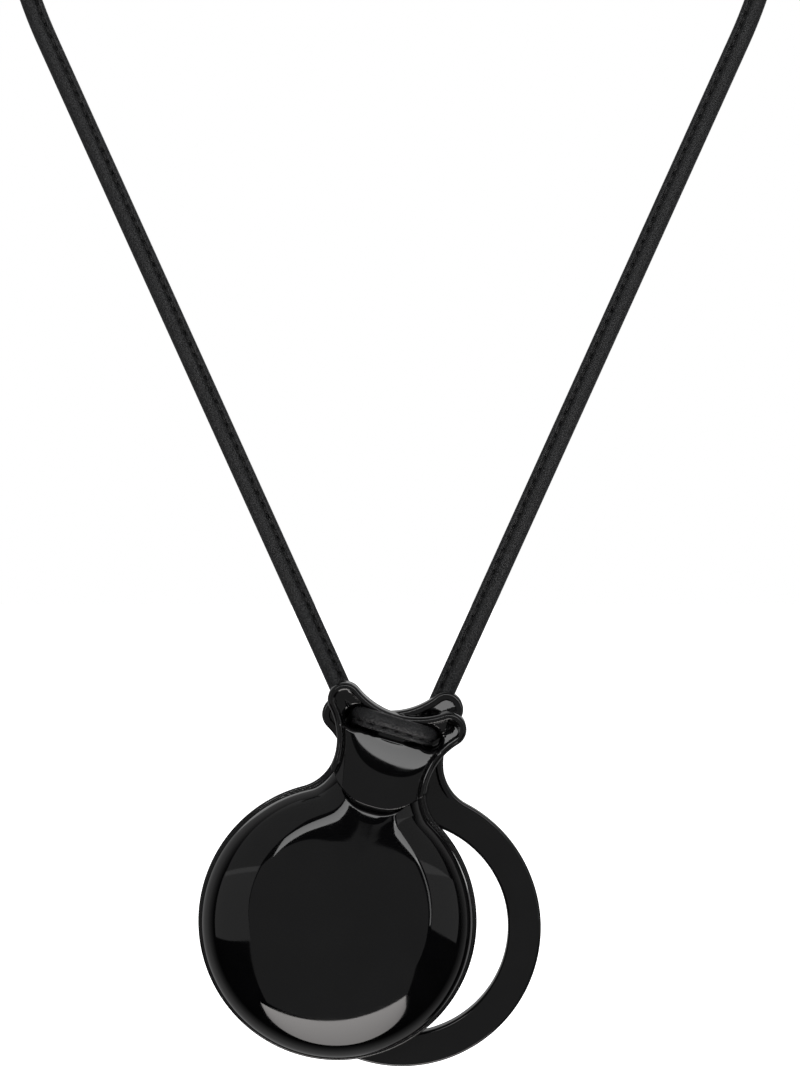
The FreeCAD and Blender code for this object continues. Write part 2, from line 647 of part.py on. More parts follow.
def main():
    nodes = [make_front_shell(), make_rear_ring()]
    nodes += make_cord()
    nodes += [make_end_cap("end_cap_left", 180), make_end_cap("end_cap_right", 0)]
    nodes += [make_jump_ring("jump_ring_left", -1), make_jump_ring("jump_ring_right", 1)]
    nodes += [make_clasp_body(), make_clasp_gate(), make_gate_pin(), make_gate_spring()]
    check_document()
    for node in nodes:
        shape = node.Shape
        if shape.isNull() or not shape.isValid():
            raise RuntimeError(f"{node.Label} has no valid shape")
        box = shape.BoundBox
        print(f"{node.Label:16s} solids {len(shape.Solids)} volume {shape.Volume:9.2f}"
              f"  x {box.XMin:7.2f} {box.XMax:7.2f}  y {box.YMin:7.2f} {box.YMax:7.2f}"
              f"  z {box.ZMin:8.2f} {box.ZMax:8.2f}")
        shape.exportStep(os.path.join("parts", node.Label + ".step"))


main()
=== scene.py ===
"""Looks of the castanet pendant: two lacquered leaves on a stitched leather neck cord.

Leaf shapes are worked out in millimetres about the middle of each leaf's own cord holes: u to the right,
v up along the neck and w away from the leaf's inner face. Everything in the scene is in metres.
"""
import bpy
import json
import math
import numpy as np
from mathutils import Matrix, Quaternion, Vector


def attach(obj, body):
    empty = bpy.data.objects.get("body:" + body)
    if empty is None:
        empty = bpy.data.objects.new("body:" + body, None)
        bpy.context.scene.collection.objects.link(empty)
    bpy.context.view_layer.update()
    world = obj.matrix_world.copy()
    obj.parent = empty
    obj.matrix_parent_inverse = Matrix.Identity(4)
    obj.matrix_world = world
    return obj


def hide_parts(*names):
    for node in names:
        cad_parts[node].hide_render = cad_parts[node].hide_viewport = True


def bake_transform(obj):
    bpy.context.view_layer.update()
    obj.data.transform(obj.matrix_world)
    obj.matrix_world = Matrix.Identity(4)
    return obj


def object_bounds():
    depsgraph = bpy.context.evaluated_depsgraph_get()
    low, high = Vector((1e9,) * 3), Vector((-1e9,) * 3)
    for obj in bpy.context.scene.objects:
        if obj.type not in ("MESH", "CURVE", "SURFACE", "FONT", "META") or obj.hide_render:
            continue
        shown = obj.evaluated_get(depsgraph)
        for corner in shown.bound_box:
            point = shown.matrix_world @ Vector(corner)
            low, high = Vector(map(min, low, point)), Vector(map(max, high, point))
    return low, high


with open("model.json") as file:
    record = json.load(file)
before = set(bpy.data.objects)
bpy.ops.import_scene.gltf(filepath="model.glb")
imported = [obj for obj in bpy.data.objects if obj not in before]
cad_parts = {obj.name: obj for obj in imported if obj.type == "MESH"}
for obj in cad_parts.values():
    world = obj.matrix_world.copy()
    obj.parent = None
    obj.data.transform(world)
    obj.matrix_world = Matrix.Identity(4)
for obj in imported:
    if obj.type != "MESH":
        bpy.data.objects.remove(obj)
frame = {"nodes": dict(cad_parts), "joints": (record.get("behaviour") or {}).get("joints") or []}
cad_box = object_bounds()
MM = 0.001
TAU = 2 * math.pi

# Leaf sizes in millimetres, as in the CAD model.
DISC_RADIUS, DISC_V = 31.8, -46.2
WAIST, FILLET = 11.05, 10.3
EAR_U, EAR_V, EAR_RADIUS = 12.3, 3.2, 3.9
BRIDGE = 7.5
HOLE_U, FLARE_DEPTH = 8.85, 3.8
FRONT_HOLE, FRONT_FLARE, REAR_HOLE, REAR_FLARE = 2.5, 3.3, 2.7, 3.2
INNER_FACE = 0.15
FRONT_TILT, REAR_TILT = math.radians(16.0), math.radians(-2.5)
PIVOT = next(Vector(j["pos_m"]) for j in frame["joints"] if j["name"] == "front_fan")


# ---------------------------------------------------------------- fields


def smooth_step(low, high, x):
    t = np.clip((x - low) / (high - low), 0, 1)
    return t * t * (3 - 2 * t)


def meet(a, b, radius):
    """Intersection of two solids given by distance, its outer edge rounded."""
    return np.minimum(np.maximum(a, b) + radius, 0) + np.hypot(
        np.maximum(a + radius, 0), np.maximum(b + radius, 0)) - radius


def join(a, b, radius):
    """Union of two solids given by distance, its inner edge rounded."""
    return -meet(-a, -b, radius)


def soft_min(a, b, reach):
    gap = np.clip(0.5 + 0.5 * (b - a) / reach, 0, 1)
    return b * (1 - gap) + a * gap - reach * gap * (1 - gap)


def outline_arcs():
    """Arcs of a leaf's right half: centre, radius, first angle, last angle, and 1 if convex or -1."""
    fillet_u = WAIST + FILLET
    fillet_v = DISC_V + math.sqrt((DISC_RADIUS + FILLET) ** 2 - fillet_u ** 2)
    gap, rise = EAR_U - WAIST, EAR_V - fillet_v
    hollow = (gap ** 2 + rise ** 2 - EAR_RADIUS ** 2) / (2 * (gap + EAR_RADIUS))
    hollow_u = WAIST + hollow
    trough = (EAR_U ** 2 - EAR_RADIUS ** 2) / (2 * EAR_RADIUS)
    trough_v = EAR_V + trough

    def angle(start_u, start_v, end_u, end_v):
        return math.atan2(end_v - start_v, end_u - start_u)

    disc_end = angle(0, DISC_V, fillet_u, fillet_v)
    to_disc = angle(fillet_u, fillet_v, 0, DISC_V)
    to_ear = angle(hollow_u, fillet_v, EAR_U, EAR_V)
    ear_high = angle(EAR_U, EAR_V, 0, trough_v)
    trough_end = angle(0, trough_v, EAR_U, EAR_V)
    return [((0, DISC_V), DISC_RADIUS, -math.pi / 2, disc_end, 1),
            ((fillet_u, fillet_v), FILLET, math.pi, to_disc + TAU, -1),
            ((hollow_u, fillet_v), hollow, to_ear, math.pi, -1),
            ((EAR_U, EAR_V), EAR_RADIUS, to_ear - math.pi, ear_high, 1),
            ((0, trough_v), trough, -math.pi / 2, trough_end, -1)]


ARCS = outline_arcs()


def outline(u, v):
    """Signed distance to a leaf's outline in its own plane, negative inside."""
    u = np.abs(u)
    best = np.full(u.shape, 1000.0)
    for (cu, cv), radius, first, last, convex in ARCS:
        from_first = np.mod(np.arctan2(v - cv, u - cu) - first, TAU)
        away = convex * (np.hypot(u - cu, v - cv) - radius)
        inside = from_first <= last - first + 1e-3
        best = np.where(inside & (np.abs(away) < np.abs(best)), away, best)
    return best


def holes(u, v, w, radius, flare_radius):
    """Distance to the two cord holes, which open out towards the inner face."""
    away = np.hypot(np.abs(u) - HOLE_U, v)
    slope = (flare_radius - radius) / FLARE_DEPTH
    flare = (radius + slope * np.maximum(FLARE_DEPTH - w, 0) - away) / math.hypot(1, slope)
    return np.maximum(radius - away, flare)


# Front leaf in millimetres: the dome on its narrow lip, the hollow, and the lower edge of the neck.
DOME_HEIGHT, LIP, DOME_POWER = 13.4, 1.6, 2.35
LIP_WIDTH = 0.9
FLANK_SHARE = 0.78
CAVITY_RADIUS, CAVITY_DEPTH = 24.7, 11.2
NECK_EDGE = 10.2
CREASE_LOW, CREASE_RISE, CREASE_HALF, CREASE_POWER = -18.2, 6.2, 11.3, 2.6


def crease(u, v):
    """Distance above the edge where the front neck ends on the dome, negative on the dome's side."""
    share = np.abs(u) / CREASE_HALF
    edge = CREASE_LOW + CREASE_RISE * share ** CREASE_POWER
    slope = CREASE_RISE * CREASE_POWER / CREASE_HALF * share ** (CREASE_POWER - 1)
    return (v - edge) / np.hypot(1, slope)


def dome_depth(u, v, out):
    """How far inside the dome's foot a point is; the neck's flanks carry the crown on as a low ridge."""
    crown = DISC_RADIUS - np.hypot(u, v - DISC_V)
    flank = -FLANK_SHARE * out
    reach = np.clip(0.4 * np.maximum(crown, flank), 0.05, 5.0)
    return -soft_min(-crown, -flank, reach) - LIP_WIDTH


def dome_top(depth):
    share = np.clip(1 - depth / DISC_RADIUS, 0, 1)
    return LIP + DOME_HEIGHT * np.maximum(1 - share ** DOME_POWER, 0) ** (1 / DOME_POWER)


def dome_field(depth, w):
    """Distance to the crown's surface, upright at its foot and flat at its top."""
    share = np.maximum(1 - depth / DISC_RADIUS, 1e-4)
    rise = np.maximum(w - LIP, 1e-4) / DOME_HEIGHT
    total = share ** DOME_POWER + rise ** DOME_POWER
    steep = np.hypot(share ** (DOME_POWER - 1) / DISC_RADIUS, rise ** (DOME_POWER - 1) / DOME_HEIGHT)
    steep = np.maximum(steep * total ** (1 / DOME_POWER - 1), 1 / 40)
    return (total ** (1 / DOME_POWER) - 1) / steep


RIM_LEVEL, RIM_RISE, RIM_WIDTH, RIM_CROWN = 8.3, 1.1, 1.7, 0.3
DISH_LOW, DISH_HIGH, DISH_CURVE = 6.8, 8.0, 0.03
SWELL_CREST, CREST_V, SWELL_MIDDLE = 10.9, -12.8, 1.0


def neck_dish(u, v):
    """Floor of the dish: deepest round the holes, and leaning back in the right ear."""
    from_hole = np.hypot(np.abs(u) - HOLE_U, v)
    dish = np.minimum(DISH_LOW + DISH_CURVE * from_hole ** 2, DISH_HIGH)
    leaning = 7.9 - 0.32 * (v + 1.5)
    return dish + (leaning - dish) * smooth_step(11.3, 12.0, u)


def neck_swell(u, v):
    """Swelling below the cord: highest along a bow-shaped crest and falling away all round it."""
    side = u - SWELL_MIDDLE
    along = v + 1.35 - 0.035 * side ** 2 - 0.0003 * side ** 4
    up, down = np.maximum(along - CREST_V, 0), np.maximum(CREST_V - along, 0)
    steep = np.maximum(up - 5.0, 0)
    swell = SWELL_CREST - 0.0268 * up ** 2 + 0.0156 * steep ** 2 - 0.007 * down ** 2
    return swell - side ** 2 / 400 - 0.35 * (side / 8.5) ** 4


def neck_face(u, v, inward):
    """Height of the front neck: a dish inside a raised rim, and below the cord a swelling."""
    across_rim = np.clip(inward, 0, RIM_WIDTH) / (RIM_WIDTH / 2) - 1
    rim = RIM_LEVEL + RIM_RISE * smooth_step(-4, -12, v) - RIM_CROWN * across_rim ** 2
    face = rim + (neck_dish(u, v) - rim) * smooth_step(1.45, 1.85, inward)
    swell = rim + (neck_swell(u, v) - rim) * smooth_step(1.5, 2.2, inward)
    swell = swell - 0.8 * np.maximum(v + 3.0, 0) ** 2
    return -soft_min(-swell, -face, 0.6)


def slanted(w, level, slope, run):
    """Distance to a plane that passes through a level and rises by a slope against a run."""
    return (w - level + slope * run) / math.hypot(1, slope)


GROOVE_HALF, WALL_REACH, SILL_REACH, FLOOR_DEPTH = 11.5, 1.3, 2.1, 1.2
LEDGE_SLOPE, SILL_SLOPE, WALL_SLOPE = 0.22, 0.42, 2.2


def front_field(p):
    u, v, w = p[..., 0], p[..., 1], p[..., 2]
    out = outline(u, v)
    above = crease(u, v)

    # Dome on a narrow lip.
    depth = dome_depth(u, v, out)
    dome = join(dome_field(depth, w), meet(out, w - LIP, 0.5), 0.15)

    # Groove along the lower edge of the neck: a floor, a steep wall and a slanted sill up to the dome.
    reach = np.clip(1 - (np.abs(u) / GROOVE_HALF) ** 2, 0.02, 1)
    ledge = slanted(w, NECK_EDGE, LEDGE_SLOPE, above)
    sill = slanted(w, NECK_EDGE + LEDGE_SLOPE * SILL_REACH * reach, SILL_SLOPE,
                   above + SILL_REACH * reach)
    wall = slanted(w, NECK_EDGE, WALL_SLOPE, above + WALL_REACH * reach)
    floor = w - np.minimum(dome_top(depth), NECK_EDGE) + FLOOR_DEPTH * reach
    dome = meet(dome, ledge, 1.0)
    dome = meet(dome, join(floor, meet(wall, sill, 0.3), 0.4), 0.3)

    # Neck and ears.
    neck = meet(out, (w - neck_face(u, v, -out)) / 1.1, 0.75)
    neck = meet(neck, -above, 0.3)
    solid = join(dome, neck, 0.15)

    # Inner face, hollow and holes.
    solid = meet(solid, -w, 0.25)
    bowl = (CAVITY_RADIUS ** 2 + CAVITY_DEPTH ** 2) / (2 * CAVITY_DEPTH)
    from_disc = np.hypot(u, v - DISC_V)
    hollow = np.hypot(from_disc, w - CAVITY_DEPTH + bowl) - bowl
    solid = meet(solid, -hollow, 0.35)
    return meet(solid, holes(u, v, w, FRONT_HOLE, FRONT_FLARE), 0.9)


RING_INNER, RING_THICKNESS = 24.3, 4.6
SLOPE_LOW, SLOPE_HIGH = -18.5, -8.5


def rear_field(p):
    u, v, w = p[..., 0], p[..., 1], p[..., 2]
    out = outline(u, v)
    inward = -out

    # Thickness: the full bridge at the neck, sloping down to the thinner ring; a rim round the ears.
    thick = RING_THICKNESS + (BRIDGE - RING_THICKNESS) * smooth_step(SLOPE_LOW, SLOPE_HIGH, v)
    dish = 0.6 * smooth_step(1.4, 1.8, inward) * smooth_step(-9.0, -4.0, v)
    back = meet(out, w - thick + dish, 0.8)

    # Inner face: dished inside a rim on the neck and ears, with the relief above the fulcrum.
    high = smooth_step(-19.0, -12.0, v)
    dish = (0.9 * high + 0.3 * np.maximum(v + 0.5 - 0.3 * np.abs(u), 0)) * smooth_step(1.3, 1.8, inward)
    relief = 0.16 * np.maximum(v + 0.5, 0)
    solid = meet(back, -(w - np.maximum(dish, relief)), 0.6)
    ring = np.hypot(u, v - DISC_V) - RING_INNER
    solid = meet(solid, -ring, 0.8)
    return meet(solid, holes(u, v, w, REAR_HOLE, REAR_FLARE), 0.6)


# ---------------------------------------------------------------- meshes from fields


def slopes(field, points, step=0.01):
    """Gradient of a field at many points."""
    sides = []
    for axis in range(3):
        shift = np.zeros(3)
        shift[axis] = step
        sides.append((field(points + shift) - field(points - shift)) / (2 * step))
    return np.stack(sides, -1)


def unit(vectors):
    return vectors / np.maximum(np.linalg.norm(vectors, axis=-1, keepdims=True), 1e-9)


def skin(field, low, high, step):
    """Quads of a field's zero surface, one vertex in each cell that it crosses, kept sharp at edges."""
    axes = [np.arange(a, b + step, step) for a, b in zip(low, high)]
    grid = np.stack(np.meshgrid(*axes, indexing="ij"), -1)
    values = np.concatenate([field(slab)[None] for slab in grid])
    shape = np.array(values.shape)
    strides = np.array([shape[1] * shape[2], shape[2], 1])
    cells, crossings, quads = [], [], []
    for axis in range(3):
        first = np.take(values, range(shape[axis] - 1), axis)
        last = np.take(values, range(1, shape[axis]), axis)
        index = np.argwhere((first < 0) != (last < 0))
        a, b = first[tuple(index.T)], last[tuple(index.T)]
        start = np.array(low) + index * step
        start[:, axis] += step * a / (a - b)
        other = [(axis + 1) % 3, (axis + 2) % 3]
        around = np.array([[0, 0], [1, 0], [1, 1], [0, 1]])
        corner = np.repeat(index[:, None], 4, 1)
        corner[:, :, other[0]] -= around[:, 0]
        corner[:, :, other[1]] -= around[:, 1]
        ids = corner @ strides
        cells.append(ids.ravel())
        crossings.append(np.repeat(start, 4, 0))
        quads.append(np.where((a < 0)[:, None], ids, ids[:, ::-1]))
    cells, crossings, quads = map(np.concatenate, (cells, crossings, quads))
    used, slot = np.unique(cells, return_inverse=True)
    count = np.bincount(slot)[:, None]

    # A few corrections bring each crossing on to the surface, where its normal is read.
    for _ in range(2):
        lean = slopes(field, crossings)
        crossings = crossings - lean * (field(crossings) / np.maximum((lean ** 2).sum(-1), 0.1))[:, None]
    normal = unit(slopes(field, crossings))
    middle = np.stack([np.bincount(slot, crossings[:, k]) for k in range(3)], -1) / count
    offset = (normal * (crossings - middle[slot])).sum(-1)
    pairs = [(i, j) for i in range(3) for j in range(3)]
    matrix = np.stack([np.bincount(slot, normal[:, i] * normal[:, j]) for i, j in pairs], -1)
    right = np.stack([np.bincount(slot, normal[:, k] * offset) for k in range(3)], -1)
    matrix = matrix.reshape(-1, 3, 3) + 0.05 * count[:, :, None] * np.eye(3)
    move = np.linalg.solve(matrix, right[:, :, None])[:, :, 0]
    points = middle + np.clip(move, -0.8 * step, 0.8 * step)
    table = np.full(values.size, -1)
    table[used] = np.arange(len(used))
    return points, table[quads]


def corner_normals(field, points, quads):
    """A normal for each corner of a quad: the surface's own, or at a sharp edge the quad's side of it."""
    at_vertex = unit(slopes(field, points))[quads]
    middle = points[quads].mean(1, keepdims=True)
    near = points[quads] * 0.6 + middle * 0.4
    at_quad = unit(slopes(field, near.reshape(-1, 3))).reshape(near.shape)
    same = (at_vertex * at_quad).sum(-1, keepdims=True) > math.cos(math.radians(9))
    return np.where(same, at_vertex, at_quad)


def in_place(vectors, tilt, side):
    """Leaf directions turned into directions of the scene."""
    u, v, w = vectors[..., 0], vectors[..., 1], vectors[..., 2]
    return np.stack([u * math.cos(tilt) + v * math.sin(tilt), side * w,
                     -u * math.sin(tilt) + v * math.cos(tilt)], -1)


def new_object(name, mesh):
    piece = bpy.data.objects.new(name, mesh)
    bpy.context.scene.collection.objects.link(piece)
    return piece


def make_leaf(name, field, low, high, step, tilt, side):
    points, quads = skin(field, low, high, step)
    if side > 0:
        quads = quads[:, ::-1]
    normals = corner_normals(field, points, quads)
    placed = (in_place(points, tilt, side) + [0, side * INNER_FACE, 0]) * MM + np.array(PIVOT)
    mesh = bpy.data.meshes.new(name)
    mesh.from_pydata(placed.tolist(), [], quads.tolist())
    mesh.shade_smooth()
    mesh.normals_split_custom_set(in_place(normals, tilt, side).reshape(-1, 3).tolist())
    return new_object(name, mesh)


# ---------------------------------------------------------------- materials


def new_material(name, colour, roughness):
    material = bpy.data.materials.new(name)
    material.use_nodes = True
    shader = material.node_tree.nodes["Principled BSDF"]
    shader.inputs["Base Color"].default_value = (*colour, 1)
    shader.inputs["Roughness"].default_value = roughness
    return material, material.node_tree, shader


def noise(tree, scale, detail=2.0):
    """Noise in the object's own metres, so many cells in each metre."""
    place = tree.nodes.new("ShaderNodeTexCoord")
    texture = tree.nodes.new("ShaderNodeTexNoise")
    texture.inputs["Scale"].default_value = scale
    texture.inputs["Detail"].default_value = detail
    tree.links.new(place.outputs["Object"], texture.inputs["Vector"])
    return texture


def add_range(tree, texture, shader, name, low, high):
    """Texture value mapped to a range and put into one of the shader's sockets."""
    spread = tree.nodes.new("ShaderNodeMapRange")
    spread.inputs["From Min"].default_value = 0.3
    spread.inputs["From Max"].default_value = 0.7
    spread.inputs["To Min"].default_value = low
    spread.inputs["To Max"].default_value = high
    tree.links.new(texture.outputs["Fac"], spread.inputs["Value"])
    tree.links.new(spread.outputs["Result"], shader.inputs[name])


def add_colours(tree, texture, shader, dark, light):
    ramp = tree.nodes.new("ShaderNodeValToRGB")
    ramp.color_ramp.elements[0].position = 0.35
    ramp.color_ramp.elements[1].position = 0.7
    ramp.color_ramp.elements[0].color = (*dark, 1)
    ramp.color_ramp.elements[1].color = (*light, 1)
    tree.links.new(texture.outputs["Fac"], ramp.inputs["Fac"])
    tree.links.new(ramp.outputs["Color"], shader.inputs["Base Color"])


def add_bump(tree, shader, heights, strength, distance):
    total = heights[0]
    for height in heights[1:]:
        add = tree.nodes.new("ShaderNodeMath")
        add.operation = "ADD"
        tree.links.new(total, add.inputs[0])
        tree.links.new(height, add.inputs[1])
        total = add.outputs["Value"]
    bump = tree.nodes.new("ShaderNodeBump")
    bump.inputs["Strength"].default_value = strength
    bump.inputs["Distance"].default_value = distance
    tree.links.new(total, bump.inputs["Height"])
    tree.links.new(bump.outputs["Normal"], shader.inputs["Normal"])


def lacquer_material():
    material, tree, shader = new_material("black_lacquer", (0.004, 0.004, 0.0045), 0.06)
    shader.inputs["IOR"].default_value = 1.5
    add_colours(tree, noise(tree, 90), shader, (0.0035, 0.0035, 0.004), (0.0055, 0.0055, 0.006))
    add_range(tree, noise(tree, 160, 3), shader, "Roughness", 0.035, 0.075)
    add_bump(tree, shader, [noise(tree, 220, 1).outputs["Fac"]], 0.05, 0.0001)
    return material


def leather_material():
    material, tree, shader = new_material("cord_leather", (0.02, 0.02, 0.021), 0.6)
    shader.inputs["IOR"].default_value = 1.45
    add_colours(tree, noise(tree, 2200, 4), shader, (0.011, 0.011, 0.0115), (0.026, 0.027, 0.029))
    add_range(tree, noise(tree, 1800, 2), shader, "Roughness", 0.4, 0.62)
    place = tree.nodes.new("ShaderNodeTexCoord")
    pores = tree.nodes.new("ShaderNodeTexVoronoi")
    pores.inputs["Scale"].default_value = 2200
    tree.links.new(place.outputs["Object"], pores.inputs["Vector"])
    add_bump(tree, shader, [noise(tree, 1900, 4).outputs["Fac"], pores.outputs["Distance"]], 0.7, 0.0002)
    return material


def thread_material():
    material, tree, shader = new_material("seam_thread", (0.014, 0.014, 0.015), 0.7)
    add_colours(tree, noise(tree, 3000, 2), shader, (0.006, 0.006, 0.006), (0.022, 0.022, 0.023))
    add_bump(tree, shader, [noise(tree, 5000, 2).outputs["Fac"]], 0.5, 0.0001)
    return material


def steel_material(name, colour, low, high):
    material, tree, shader = new_material(name, colour, low)
    shader.inputs["Metallic"].default_value = 1.0
    add_range(tree, noise(tree, 900, 4), shader, "Roughness", low, high)
    add_colours(tree, noise(tree, 400, 3), shader, [c * 0.88 for c in colour], colour)
    add_bump(tree, shader, [noise(tree, 4000, 2).outputs["Fac"]], 0.08, 0.00005)
    return material


# ---------------------------------------------------------------- cord

# Route of the cord in metres, from its end in the left cap to its end in the right one.
LEFT_LOOP = [(-0.0119, 0, 0), (-0.026, 0, 0), (-0.0515, 0, -0.0085), (-0.0745, 0, -0.0295),
             (-0.088, 0, -0.0585), (-0.092, 0, -0.0905), (-0.087, 0, -0.1225), (-0.0738, 0, -0.1517),
             (-0.0222, 0, -0.2656)]
LEFT_FOLD = [(-0.0098, 0, -0.2929), (-0.00884, -0.0032, -0.2962), (-0.00884, -0.0077, -0.2962),
             (-0.0081, -0.0133, -0.2934), (-0.0078, -0.0176, -0.2929), (-0.005, -0.0205, -0.2936)]
RIGHT_FOLD = [(0.005, -0.0205, -0.2966), (0.0081, -0.0176, -0.2977), (0.0083, -0.0133, -0.2982),
              (0.00884, -0.0077, -0.2954), (0.00884, -0.0032, -0.2954), (0.0101, 0, -0.2921)]
RIGHT_LOOP = [(-x, y, z) for x, y, z in LEFT_LOOP[::-1]]
CORD_ROUTE = LEFT_LOOP + LEFT_FOLD + RIGHT_FOLD + RIGHT_LOOP
STITCH_PITCH, STITCH_STEPS = 2.9 * MM, 6
STITCH_OFFSET = 1.12 * MM
THREAD_SIDES = 8
PINCH = 0.13


def cord_line():
    """Points along the route's NURBS spline, evenly spaced."""
    curve = bpy.data.curves.new("cord_route", "CURVE")
    curve.dimensions = "3D"
    curve.resolution_u = 24
    spline = curve.splines.new("NURBS")
    spline.points.add(len(CORD_ROUTE) - 1)
    for point, place in zip(spline.points, CORD_ROUTE):
        point.co = (*place, 1)
    spline.order_u = 3
    spline.use_endpoint_u = True
    route = new_object("cord_route", curve)
    bpy.context.view_layer.update()
    traced = bpy.data.meshes.new_from_object(route)
    points = np.array([v.co for v in traced.vertices], float)
    bpy.data.objects.remove(route)
    along = np.concatenate([[0], np.cumsum(np.linalg.norm(np.diff(points, axis=0), axis=1))])
    stitches = round(along[-1] / STITCH_PITCH)
    even = np.linspace(0, along[-1], stitches * STITCH_STEPS + 1)
    return np.stack([np.interp(even, along, points[:, k]) for k in range(3)], -1)


def cord_frames(line):
    """Direction of the seam and the one across it, both shorter where the fold pinches the cord."""
    tangent = unit(np.gradient(line, axis=0))
    kernel = np.ones(5) / 5
    padded = np.pad(tangent, ((2, 2), (0, 0)), mode="edge")
    tangent = unit(np.stack([np.convolve(padded[:, k], kernel, "valid") for k in range(3)], -1))
    inward = np.cross(tangent, [0, 1, 0])
    # Through the holes the seam points to the middle and up; over the front face it turns down.
    folded = line[:, 1] < -0.0006
    inward[folded] = np.stack([-np.sign(line[folded, 0]) * 0.91, 0 * line[folded, 0],
                               0.41 + 0 * line[folded, 0]], -1)
    down = np.array([-math.sin(FRONT_TILT), 0, -math.cos(FRONT_TILT)])
    turn = smooth_step(0.004, 0.0165, -line[:, 1])[:, None]
    seam = unit(inward) * (1 - turn) + down * turn
    seam = unit(seam - tangent * (seam * tangent).sum(-1, keepdims=True))
    size = 1 - PINCH * turn
    return seam * size, np.cross(tangent, seam) * size


def cord_section():
    """Half section of the cord in millimetres: (towards the seam's edge, half thickness)."""
    across = np.array([-2.5, -2.42, -2.2, -1.85, -1.4, -0.9, -0.4, 0.1, 0.5, 0.8, 1.0, 1.12, 1.25, 1.45,
                       1.75, 2.1, 2.38, 2.5])
    bulge = np.sqrt(np.maximum(1.98 ** 2 - (across + 0.52) ** 2, 0))
    flange = 1.32 * np.sqrt(np.clip(1 - (np.maximum(across - 1.5, 0) / 1.02) ** 3, 0, 1))
    channel = 0.42 * np.exp(-((across - 1.12) / 0.22) ** 2)
    half = np.where(across < 0.9, bulge, flange) - channel
    return across, np.maximum(half, 0)


def make_cord(line, frames):
    seam, across_seam = frames
    across, half = cord_section()
    offsets = np.concatenate([across, across[-2:0:-1]]) * MM
    heights = np.concatenate([half, -half[-2:0:-1]]) * MM
    count, sides = len(line), len(offsets)

    # Needle holes between the stitches: the channel dips there.
    phase = np.arange(count) % STITCH_STEPS
    near = np.select([phase == 0, (phase == 1) | (phase == STITCH_STEPS - 1)], [1.0, 0.35], 0.0)
    dip = np.exp(-((offsets - STITCH_OFFSET) / (0.26 * MM)) ** 2) * 0.55 * MM
    height = np.sign(heights) * (np.abs(heights) - near[:, None] * np.minimum(dip, np.abs(heights)))
    points = line[:, None] + seam[:, None] * offsets[:, None] + across_seam[:, None] * height[:, :, None]
    ring = np.arange(sides)
    start = (np.arange(count - 1) * sides)[:, None]
    quads = np.stack([start + ring, start + np.roll(ring, -1), start + sides + np.roll(ring, -1),
                      start + sides + ring], -1).reshape(-1, 4)
    ends = [list(range(sides))[::-1], list(range((count - 1) * sides, count * sides))]
    mesh = bpy.data.meshes.new("neck_cord_leather")
    mesh.from_pydata(points.reshape(-1, 3).tolist(), [], quads.tolist() + ends)
    mesh.shade_smooth()
    return new_object("neck_cord_leather", mesh)


def make_stitches(line, frames):
    """Thread of the seam: one short rounded length on each side of the cord between two needle holes."""
    seam, across_seam = frames
    steps = [0.8, 1.2, 2.0, 3.0, 4.0, 4.8, 5.2]
    radii = np.array([0.10, 0.24, 0.30, 0.32, 0.30, 0.24, 0.10]) * MM
    lifts = np.array([0.78, 0.92, 1.02, 1.05, 1.02, 0.92, 0.78]) * MM
    turns = np.arange(THREAD_SIDES) / THREAD_SIDES * TAU
    points, faces = [], []
    at = np.arange(len(line))
    for first in range(0, len(line) - STITCH_STEPS, STITCH_STEPS):
        for side in (-1, 1):
            base = len(points)
            for step, radius, lift in zip(steps, radii, lifts):
                where = first + step
                middle, out, flat = (np.array([np.interp(where, at, a[:, k]) for k in range(3)])
                                     for a in (line, across_seam, seam))
                centre = middle + flat * STITCH_OFFSET + out * side * lift
                points.extend(centre + radius * (math.cos(t) * flat + math.sin(t) * out) for t in turns)
            for row in range(len(steps) - 1):
                low = base + row * THREAD_SIDES
                for k in range(THREAD_SIDES):
                    a, b = low + k, low + (k + 1) % THREAD_SIDES
                    faces.append([a, b, b + THREAD_SIDES, a + THREAD_SIDES])
            faces.append(list(range(base, base + THREAD_SIDES))[::-1])
            faces.append(list(range(len(points) - THREAD_SIDES, len(points))))
    mesh = bpy.data.meshes.new("seam_stitches")
    mesh.from_pydata([tuple(p) for p in points], [], faces)
    mesh.shade_smooth()
    return new_object("seam_stitches", mesh)


# ---------------------------------------------------------------- stage


def face_pendant(piece, azimuth, elevation, distance, roll):
    """Place a light on a sphere round the pendant and turn it to the middle."""
    middle = Vector((-0.011, -0.02, -0.335))
    a, e = math.radians(azimuth), math.radians(elevation)
    away = Vector((math.sin(a) * math.cos(e), -math.cos(a) * math.cos(e), math.sin(e)))
    piece.location = middle + away * distance
    piece.rotation_mode = "QUATERNION"
    piece.rotation_quaternion = away.to_track_quat("Z", "Y") @ Quaternion((0, 0, 1), math.radians(roll))
    piece.visible_camera = False


def add_softbox(name, azimuth, elevation, distance, width, height, strength, colour=(1, 1, 1), roll=0):
    """Rectangular area light. Strength is its brightness, whatever its size."""
    light = bpy.data.lights.new(name, "AREA")
    light.shape = "RECTANGLE"
    light.size, light.size_y = width, height
    light.energy = strength * width * height * math.pi
    light.color = colour
    lamp = bpy.data.objects.new(name, light)
    bpy.context.scene.collection.objects.link(lamp)
    face_pendant(lamp, azimuth, elevation, distance, roll)


